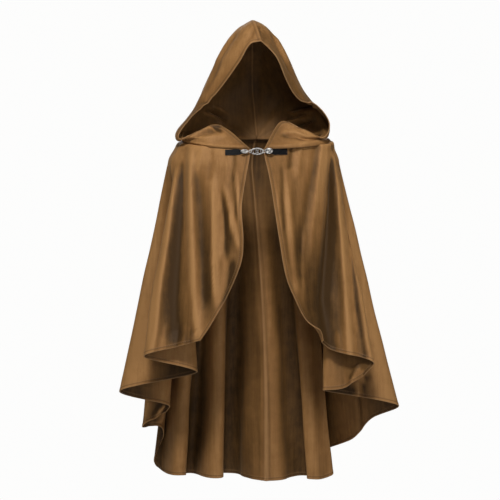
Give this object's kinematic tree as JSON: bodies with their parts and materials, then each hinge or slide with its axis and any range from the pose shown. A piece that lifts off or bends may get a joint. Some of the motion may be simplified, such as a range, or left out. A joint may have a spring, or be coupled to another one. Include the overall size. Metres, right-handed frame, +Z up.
{
  "type": "hooded cloak",
  "caption": "Short hooded cloak worn closed at the throat, open below it at the front, longer at the back, hanging in deep flutes from a seam under a loose pointed hood.",
  "frame": {"origin": "middle of the wearer's neck at shoulder height, inside the cloak, where the wearer holds it", "axes": "+Z up, the wearer faces -Y, +X is the viewer's right when the cloak is seen from the front"},
  "size_m": [0.7376, 0.4094, 1.2362],
  "materials": {
    "cloth": "soft brown napped cloth like suede, slightly lustrous along the folds",
    "leather": "smooth black leather",
    "metal": "worn silver-coloured metal"
  },
  "bodies": {
    "root": {"body_left": "cloth", "body_right": "cloth", "hood_left": "cloth", "hood_right": "cloth", "tab_left": "leather", "tab_right": "leather", "ring_middle": "metal", "end_left": "metal", "end_right": "metal"}
  },
  "joints": []
}
